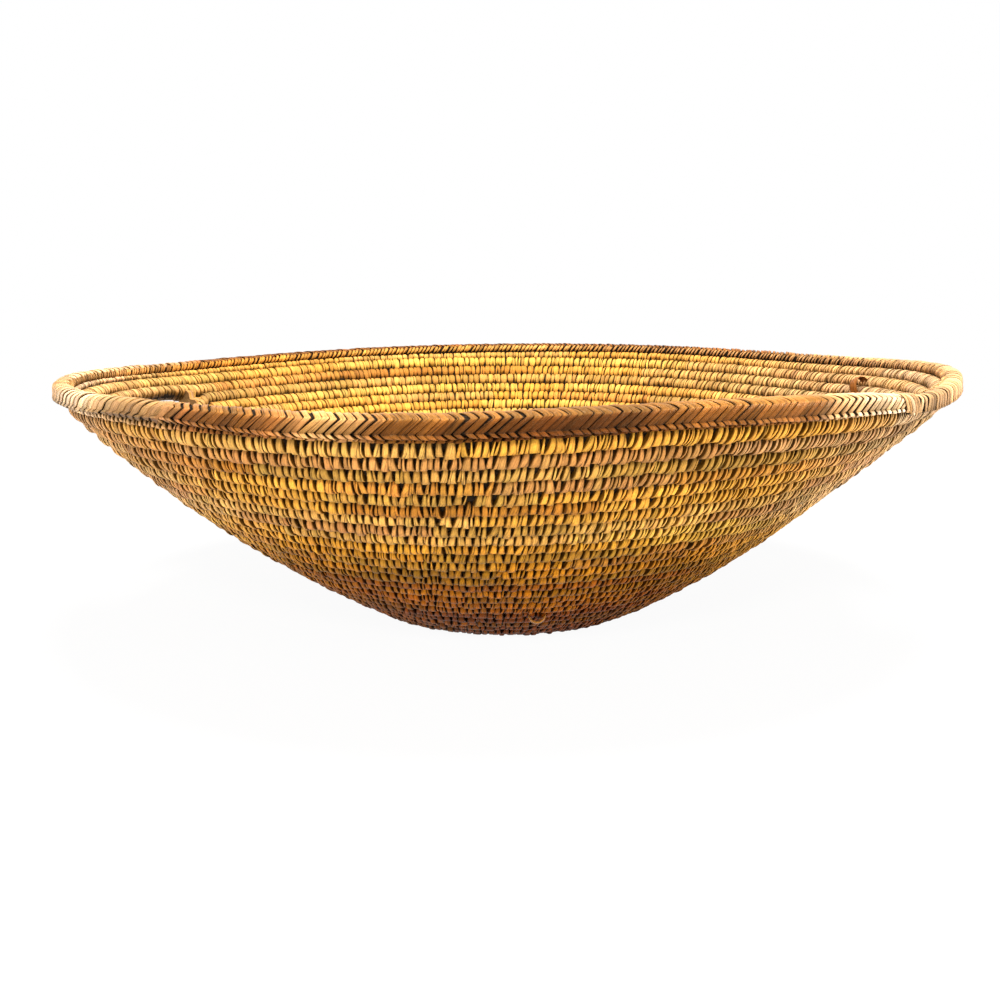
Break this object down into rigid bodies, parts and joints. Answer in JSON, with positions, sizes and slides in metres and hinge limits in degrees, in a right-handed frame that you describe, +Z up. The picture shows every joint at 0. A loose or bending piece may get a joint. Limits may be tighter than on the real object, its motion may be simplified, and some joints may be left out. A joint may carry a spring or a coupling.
{
  "type": "coiled basket tray",
  "caption": "Wide shallow round basket tray of coiled and sewn grass, with a flat base, a braided rim and two hand slots below it.",
  "frame": {"origin": "under the middle of the flat base, on the surface that the basket rests on", "axes": "+Z up out of the bowl, +X towards the right hand slot, -Y towards the front of the picture"},
  "size_m": [0.5, 0.5, 0.1443],
  "materials": {
    "straw": "matt plant splint, tan",
    "golden_straw": "satin plant splint, golden",
    "pale_straw": "matt plant splint, pale",
    "bark_brown": "satin plant splint, brown",
    "dark_grass": "matt grass bundle, dark"
  },
  "bodies": {
    "root": {"starting_knot": "straw", "base_coil": "straw", "lower_wall_coil": "golden_straw", "upper_wall_coil": "straw", "handle_coil": "golden_straw", "rim_coil": "dark_grass", "rim_braid": "bark_brown", "rim_end_binding": "pale_straw", "left_slot_front_lashing": "pale_straw", "left_slot_back_lashing": "pale_straw", "right_slot_front_lashing": "pale_straw", "right_slot_back_lashing": "pale_straw", "loose_splint_curl": "bark_brown", "raised_splint_loop": "pale_straw"}
  },
  "joints": []
}
